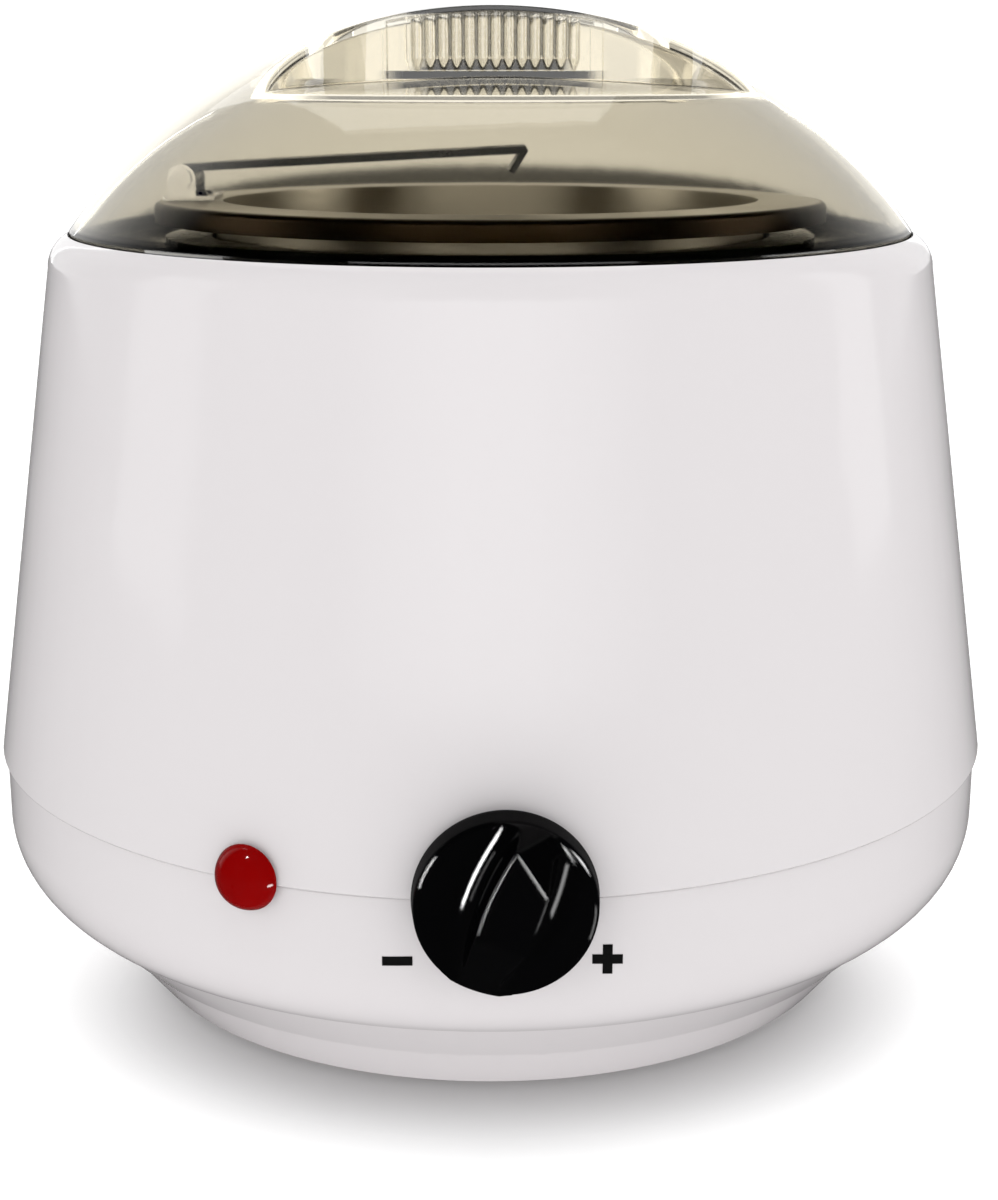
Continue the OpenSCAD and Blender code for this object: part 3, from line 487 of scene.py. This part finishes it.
class WARMER_OT_pot(bpy.types.Operator):
    """Finish the wax pot, its hinge and its fold-over handle"""

    bl_idname = "warmer.pot"
    bl_label = "Wax pot"

    def execute(self, context):
        bright = (0.6, 0.57, 0.52)
        spun, shader = metal_finish("Spun aluminium", bright, 0.35, 0.45, turned=True)
        # The bead round the rim gets painted shade
        self.painted_bead_shade(spun, shader, bright)
        dress(smooth_copy("wax_pot", "pot"), spun)
        sheet, _ = metal_finish("Bright sheet", (0.66, 0.66, 0.67), 0.2, 0.32)
        dress(smooth_copy("handle_hinge", "pot"), sheet)
        dress_nodes(["hinge_rivets", "hinge_pin"], sheet)
        dark, _ = metal_finish("Dark strip", (0.045, 0.047, 0.052), 0.25, 0.4)
        dress(smooth_copy("pot_handle", "handle"), dark)
        return {"FINISHED"}

    def painted_bead_shade(self, material, shader, bright):
        """Painted shade: the pot's metal is painted near black beyond 61 mm from the axis, on the bead round
        its rim, for the shade that falls there.
        """
        bead_shade = (0.03, 0.022, 0.016)
        tree = material.node_tree
        bead = map_range(tree, from_axis(tree, object_point(tree)), (61.0 * MM, 62.0 * MM))
        painted_metal = mix_colours(tree, bead, opaque(bright), opaque(bead_shade))
        tree.links.new(painted_metal, shader.inputs["Base Color"])


class WARMER_OT_dial(bpy.types.Operator):
    """Finish the heat dial, its clip and its shaft"""

    bl_idname = "warmer.dial"
    bl_label = "Heat dial"

    def execute(self, context):
        black, shader = moulded_finish(
            "Glossy black plastic", (0.0004, 0.0004, 0.0005), 0.02, 0.045, 500.0, rounding=0.9 * MM)
        shader.inputs["IOR"].default_value = 1.4
        dress(smooth_copy("heat_dial", "dial"), black)
        brass, _ = metal_finish("Spring brass", (0.75, 0.58, 0.28), 0.25, 0.4)
        dress_nodes(["dial_clip"], brass)
        steel, _ = metal_finish("Turned steel", (0.6, 0.6, 0.61), 0.2, 0.3)
        dress_nodes(["thermostat_shaft"], steel)
        return {"FINISHED"}


class WARMER_OT_lamp(bpy.types.Operator):
    """Finish the lamp's red lens and the bulb behind it"""

    bl_idname = "warmer.lamp"
    bl_label = "Lamp"

    def execute(self, context):
        red, shader = plain_finish("Clear red plastic", settings("warmer_finish").lens_colour, 0.08)
        shader.inputs["Transmission Weight"].default_value = 0.35
        shader.inputs["IOR"].default_value = 1.49
        dress(smooth_copy("lamp_lens", "housing"), red)
        glow, shader = clear_finish("Bulb glass", (1.0, 0.8, 0.7), 0.05)
        dress_nodes(["neon_bulb"], glow)
        return {"FINISHED"}


class WARMER_OT_marks(bpy.types.Operator):
    """Print the minus and plus signs beside the dial"""

    bl_idname = "warmer.marks"
    bl_label = "Printed marks"

    def execute(self, context):
        ink, _ = moulded_finish("Black ink", (0.006, 0.006, 0.006), 0.25, 0.4)
        height = 34.25 * MM
        # Name, place across the front, slant, and each bar's width and height
        for name, across, slant, bars in (
            ("minus_mark", -17.1 * MM, 0.072, [(4.9 * MM, 1.55 * MM)]),
            ("plus_mark", 16.4 * MM, -0.089, [(5.0 * MM, 1.6 * MM), (1.6 * MM, 5.0 * MM)]),
        ):
            dress(self.printed(name, across, height, slant, bars), ink)
        return {"FINISHED"}

    def printed(self, name, across, height, slant, bars):
        """Bars of ink that lie on the shell's round wall, slanted to look level from above."""
        proud = 0.06 * MM
        radius = LOWER_R + proud
        work = bmesh.new()
        for width, tall in bars:
            made = bmesh.ops.create_grid(work, x_segments=12, y_segments=6, size=0.5)
            for vert in made["verts"]:
                angle = (across + vert.co.x * width) / radius
                up = height + vert.co.y * tall + vert.co.x * width * slant
                vert.co = Vector((radius * math.sin(angle), -radius * math.cos(angle), up))
        bmesh.ops.recalc_face_normals(work, faces=work.faces)
        for face in work.faces:
            face.smooth = True
            if face.normal.dot(Vector((0, -1, 0))) < 0:
                face.normal_flip()
        mesh = bpy.data.meshes.new(name)
        work.to_mesh(mesh)
        work.free()
        piece = bpy.data.objects.new(name, mesh)
        bpy.context.scene.collection.objects.link(piece)
        solid = piece.modifiers.new("Ink thickness", "SOLIDIFY")
        solid.thickness = proud
        solid.offset = -1.0
        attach(piece, "housing")
        return piece


class WARMER_OT_heater(bpy.types.Operator):
    """Finish the heated well and what surrounds it"""

    bl_idname = "warmer.heater"
    bl_label = "Well and heater"

    def execute(self, context):
        spun, _ = metal_finish("Spun well aluminium", (0.48, 0.48, 0.48), 0.22, 0.34, turned=True)
        dress(smooth_copy("heating_well", "housing"), spun)
        steel, _ = metal_finish("Zinc plated steel", (0.58, 0.58, 0.59), 0.28, 0.45)
        dress_nodes(["well_stud", "well_nut", "band_bolt", "shield_screws"], steel)
        band, _ = metal_finish("Heater band", (0.4, 0.34, 0.25), 0.35, 0.5)
        dress_nodes(["heater_band"], band)
        fibre, _ = moulded_finish("Glass fibre", (0.75, 0.72, 0.64), 0.8, 0.95, 700.0, 0.0003, 0.8)
        dress_nodes(["insulation_sleeve", "insulation_disc"], fibre)
        sheet, _ = metal_finish("Shield sheet", (0.68, 0.68, 0.69), 0.22, 0.36)
        dress_nodes(["heat_shield"], sheet)
        return {"FINISHED"}


class WARMER_OT_electrics(bpy.types.Operator):
    """Finish the thermostat, the leads and the small parts inside"""

    bl_idname = "warmer.electrics"
    bl_label = "Electrics"

    def execute(self, context):
        phenolic, _ = moulded_finish("Phenolic case", (0.55, 0.47, 0.34), 0.4, 0.6)
        dress_nodes(["thermostat_body"], phenolic)
        steel, _ = metal_finish("Pressed steel", (0.6, 0.6, 0.61), 0.25, 0.4)
        dress_nodes(["thermostat_nut", "thermostat_bracket", "bracket_screws"], steel)
        dress_nodes(["lamp_clip", "block_screw", "fuse_clip"], steel)
        copper, _ = metal_finish("Copper tube", (0.8, 0.42, 0.26), 0.22, 0.36)
        dress_nodes(["sensor_bulb", "capillary_tube"], copper)
        nylon, _ = moulded_finish("Nylon block", (0.75, 0.72, 0.62), 0.4, 0.55)
        dress_nodes(["terminal_block"], nylon)
        ceramic, _ = moulded_finish("Glazed ceramic", (0.78, 0.75, 0.7), 0.15, 0.25)
        dress_nodes(["thermal_fuse"], ceramic)
        sleeve, _ = moulded_finish("Silicone sleeve", (0.4, 0.03, 0.02), 0.45, 0.6)
        dress_nodes(["lamp_leads", "heater_leads"], sleeve)
        return {"FINISHED"}


class WARMER_OT_stage(bpy.types.Operator):
    """Set the floor, the backdrop, the lights and the camera"""

    bl_idname = "warmer.stage"
    bl_label = "Stage"

    def execute(self, context):
        stage = settings("warmer_stage")
        self.floor()
        self.backdrop()
        self.room(context.scene, stage.sky)
        self.lights(context.scene, stage.key)
        self.camera(context.scene, stage)
        context.scene.view_settings.view_transform = "Standard"
        return {"FINISHED"}

    def sheet(self, name, corners, material):
        """A flat stage sheet with the corners given."""
        work = bmesh.new()
        bmesh.ops.contextual_create(work, geom=[work.verts.new(corner) for corner in corners])
        mesh = bpy.data.meshes.new(name)
        work.to_mesh(mesh)
        work.free()
        mesh.materials.append(material)
        piece = bpy.data.objects.new(name, mesh)
        bpy.context.scene.collection.objects.link(piece)
        return piece

    def wall(self, name, left, right, back, high, material):
        """An upright stage sheet that faces the camera."""
        return self.sheet(
            name, [(left, back, 0), (right, back, 0), (right, back, high), (left, back, high)], material)

    def by_ray(self, tree, plain, **kinds):
        """A value that differs between the camera's, glossy, diffuse and transmitted rays."""
        path = tree.nodes.new("ShaderNodeLightPath")
        total = plain
        for kind, value in kinds.items():
            total = calculate(tree, "MULTIPLY_ADD", path.outputs[f"Is {kind} Ray"], value - plain, total)
        return total

    def floor(self):
        """A pale floor that keeps the shadow near the object and is white to the camera further out."""
        material, shader = plain_finish("Pale floor", (0.9, 0.9, 0.9), 0.6)
        shader.inputs["Specular IOR Level"].default_value = 0.2
        tree = material.node_tree
        # How pale the floor is to the light that it throws back, to the camera, in gloss and through the lid
        pale = self.by_ray(tree, 0.92, Camera=0.58, Glossy=0.03, Transmission=0.2)
        tree.links.new(pale, shader.inputs["Base Color"])
        # To the camera the floor is lifted towards white outside a painted oval, a little to the front of
        # the body's axis, fading between two radii: the cast shadow shows only inside it
        squeeze = 1.25
        shadow_middle = (0.0, -0.03 * squeeze, 0.0)
        fade = (0.048, 0.092)
        reach = calculate_vector(
            tree, "DISTANCE", object_point(tree, Scale=(1.0, squeeze, 1.0)), shadow_middle)
        lift = map_range(tree, reach, fade, (0.0, 0.68), "SMOOTHSTEP")
        seen = calculate(tree, "MULTIPLY", self.by_ray(tree, 0.0, Camera=1.0), lift)
        # The floor also lights the object a little from below, as a wide bright table does
        strength = calculate(tree, "ADD", seen, self.by_ray(tree, 0.0, Diffuse=0.42))
        glow = tree.nodes.new("ShaderNodeEmission")
        both = tree.nodes.new("ShaderNodeAddShader")
        tree.links.new(strength, glow.inputs["Strength"])
        tree.links.new(shader.outputs["BSDF"], both.inputs[0])
        tree.links.new(glow.outputs["Emission"], both.inputs[1])
        tree.links.new(both.outputs["Shader"], tree.nodes["Material Output"].inputs["Surface"])
        edge = 8.0
        corners = [(-edge, -edge, 0), (edge, -edge, 0), (edge, edge, 0), (-edge, edge, 0)]
        self.sheet("floor", corners, material)

    def glowing(self, name, strength):
        """A plain white sheet of light."""
        material = bpy.data.materials.new(name)
        material.use_nodes = True
        tree = material.node_tree
        tree.nodes.remove(tree.nodes["Principled BSDF"])
        light = tree.nodes.new("ShaderNodeEmission")
        light.inputs["Strength"].default_value = strength
        tree.links.new(light.outputs["Emission"], tree.nodes["Material Output"].inputs["Surface"])
        return material

    def backdrop(self):
        """A white sheet that stands behind the object and turns over above it, with brighter edges."""
        white = self.glowing("White backdrop", 1.15)
        bright = self.glowing("Bright edge", 4.0)
        back, high = 5.5, 3.0
        left, right = -2.6, 2.15
        # The front edge of the part overhead, from left to right
        edge = [(-1.13, 1.03), (-0.7, 0.76), (-0.31, 0.63), (0.0, 0.61), (0.45, 0.7), (0.85, 0.92)]
        self.wall("backdrop", left, right, back, high, white)
        overhead = [(left, back, high), (right, back, high)] + [(x, y, high) for x, y in reversed(edge)]
        self.sheet("backdrop_top", overhead, white)
        edge_width = 0.07
        for name, side, out in (("edge_left", left, -1), ("edge_right", right, 1)):
            self.wall(name, side, side + out * edge_width, back, high, bright)

    def room(self, scene, strength):
        """Even room light; gloss and clear pieces see a dimmer room, darkest towards the camera."""
        world = bpy.data.worlds.new("Room")
        scene.world = world
        world.use_nodes = True
        tree = world.node_tree
        background = tree.nodes["Background"]
        background.inputs["Color"].default_value = (1.0, 1.0, 1.0, 1.0)
        place = tree.nodes.new("ShaderNodeTexCoord")
        direction = split_point(tree, place.outputs["Generated"])
        total = self.by_ray(tree, strength, Camera=1.0, Glossy=0.0, Transmission=0.0)
        for kind, start, dark, bright in (("Glossy", 0.3, 0.01, 0.8), ("Transmission", -0.7, 0.03, 0.4)):
            shade = map_range(tree, direction["Y"], (start, start + 0.5), (dark, bright))
            total = calculate(tree, "MULTIPLY_ADD", shade, self.by_ray(tree, 0.0, **{kind: 1.0}), total)
        tree.links.new(total, background.inputs["Strength"])

    def lights(self, scene, power):
        """Large soft lights, and narrow ones that draw the gloss."""
        shells = self.group_of("Shells", ("upper_shell_piece", "lower_shell_piece"))
        dial = self.group_of("Dial", ("heat_dial_piece",))
        lens = self.group_of("Lens", ("lamp_lens_piece",))
        inner = self.group_of(
            "Lid and pot", ("lid_piece", "wax_pot_piece", "heating_well_piece", "pot_handle_piece"))
        clear = self.group_of("Lid", ("lid_piece",))
        middle = Vector((0, 0, 0.08))
        knob = Vector((0, DIAL_LOW.y, CONTROL_Z))
        lens_low, lens_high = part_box("lamp_lens")
        bulb = (lens_low + lens_high) / 2
        # Name, place, target, width, height, radiance, seen in gloss, and the only pieces it lights
        spots = [
            ("front_left", (-0.9, -1.0, 0.8), middle, 1.0, 1.0, power, False, None),
            ("front_right", (0.9, -1.0, 0.8), middle, 1.0, 1.0, power, False, None),
            ("overhead", (0.0, -0.1, 1.3), middle, 1.0, 1.0, power * 1.5, False, None),
            ("lid_front", (0.0, -1.5, 0.55), middle, 2.2, 1.0, 3.5, True, inner),
            ("lid_foot", (0.0, -0.77, 1.43), middle, 2.4, 0.11, 2.2, True, clear),
            ("lid_left", (-1.5, -0.1, 0.35), middle, 0.8, 0.8, 4.5, True, inner),
            ("lid_right", (1.5, -0.1, 0.4), middle, 0.7, 0.7, 5.2, True, inner),
            ("back_left", (-1.3, 0.4, 0.6), middle, 1.0, 1.0, power * 0.5, False, shells),
            ("back_right", (1.3, 0.4, 0.6), middle, 1.0, 1.0, power * 1.7, False, shells),
            ("lid_behind", (0.0, 2.0, 1.7), middle, 2.2, 1.2, 0.6, True, clear),
            ("side_left", (-1.4, -0.12, 0.2), middle, 0.6, 1.6, 0.7, True, shells),
            ("side_right", (1.4, 0.17, 0.2), middle, 0.4, 1.6, 0.7, True, shells),
            ("dial_flank", knob + Vector((-0.092, -0.118, -0.008)), knob, 0.018, 0.05, 110.0, True, dial),
            ("dial_line", knob + Vector((-0.137, -0.061, 0.01)), knob, 0.006, 0.04, 8.0, True, dial),
            ("dial_brow", knob + Vector((0.111, -0.1, 0.011)), knob, 0.06, 0.035, 40.0, True, dial),
            ("dial_low", knob + Vector((0.035, -0.022, -0.022)), knob, 0.014, 0.014, 8.0, True, dial),
            ("lens_top", bulb + Vector((-0.03, -0.06, 0.2)), bulb, 0.02, 0.02, 40.0, True, lens),
            ("lens_low", bulb + Vector((0.05, -0.03, -0.025)), bulb, 0.02, 0.008, 15.0, True, lens),
        ]
        # Overlapping sheets, each wider than the last, whose mirror image brightens the body's middle softly
        for step in range(5):
            place = (0.0, -2.5 - 0.05 * step, 0.35)
            spots.append((f"soft_{step}", place, middle, 1.0 + 0.7 * step, 1.2, 0.25, True, shells))
        # Only the lamps for the lid and the pot are seen through the lid
        for name, place, target, wide, tall, radiance, shines, receivers in spots:
            light = self.area_light(scene, name, place, target, wide, tall, radiance)
            light.visible_glossy = shines
            light.visible_transmission = receivers == inner
            if receivers:
                light.light_linking.receiver_collection = receivers

    def area_light(self, scene, name, place, target, wide, tall, radiance):
        """A rectangular lamp that faces its target and is as bright as its radiance says at any size."""
        data = bpy.data.lights.new(name, "AREA")
        data.shape = "RECTANGLE"
        data.size = wide
        data.size_y = tall
        data.energy = radiance * math.pi * wide * tall
        light = bpy.data.objects.new(name, data)
        scene.collection.objects.link(light)
        light.location = place
        aim = target - light.location
        light.rotation_euler = aim.to_track_quat("-Z", "Y").to_euler()
        light.visible_camera = False
        return light

    def group_of(self, name, pieces):
        """A collection of pieces that a light is kept to."""
        group = bpy.data.collections.new(name)
        for piece in pieces:
            group.objects.link(bpy.data.objects[piece])
        return group

    def camera(self, scene, stage):
        """The camera of the photograph."""
        data = bpy.data.cameras.new("camera")
        data.lens = stage.focal_length
        data.sensor_width = 36.0
        data.clip_start = 0.01
        camera = bpy.data.objects.new("camera", data)
        scene.collection.objects.link(camera)
        camera.location = (
            stage.distance * math.sin(stage.azimuth),
            -stage.distance * math.cos(stage.azimuth),
            stage.eye_height,
        )
        camera.rotation_euler = (math.pi / 2 - stage.pitch, 0.0, stage.azimuth - stage.aside)
        scene.camera = camera


class WARMER_PT_sidebar(bpy.types.Panel):
    """Lists the pieces and their settings"""

    bl_idname = "WARMER_PT_sidebar"
    bl_label = "Wax warmer"
    bl_space_type = "VIEW_3D"
    bl_region_type = "UI"
    bl_category = "Wax warmer"

    def draw(self, context):
        for name in ("warmer_finish", "warmer_stage"):
            group = getattr(context.scene, name)
            for label in group.__annotations__:
                self.layout.prop(group, label)
        for operator in OPERATORS:
            self.layout.operator(operator.bl_idname)


OPERATORS = (
    WARMER_OT_shells,
    WARMER_OT_lid,
    WARMER_OT_pot,
    WARMER_OT_dial,
    WARMER_OT_lamp,
    WARMER_OT_marks,
    WARMER_OT_heater,
    WARMER_OT_electrics,
    WARMER_OT_stage,
)
CLASSES = (WarmerFinish, WarmerStage, *OPERATORS, WARMER_PT_sidebar)


def register():
    for item in CLASSES:
        bpy.utils.register_class(item)
    bpy.types.Scene.warmer_finish = bpy.props.PointerProperty(type=WarmerFinish)
    bpy.types.Scene.warmer_stage = bpy.props.PointerProperty(type=WarmerStage)


def unregister():
    del bpy.types.Scene.warmer_stage
    del bpy.types.Scene.warmer_finish
    for item in reversed(CLASSES):
        bpy.utils.unregister_class(item)


def main():
    """Registers the add-on and runs every operator in order."""
    register()
    for operator in OPERATORS:
        space, name = operator.bl_idname.split(".")
        getattr(getattr(bpy.ops, space), name)()
    bpy.context.view_layer.update()


if __name__ == "__main__":
    main()
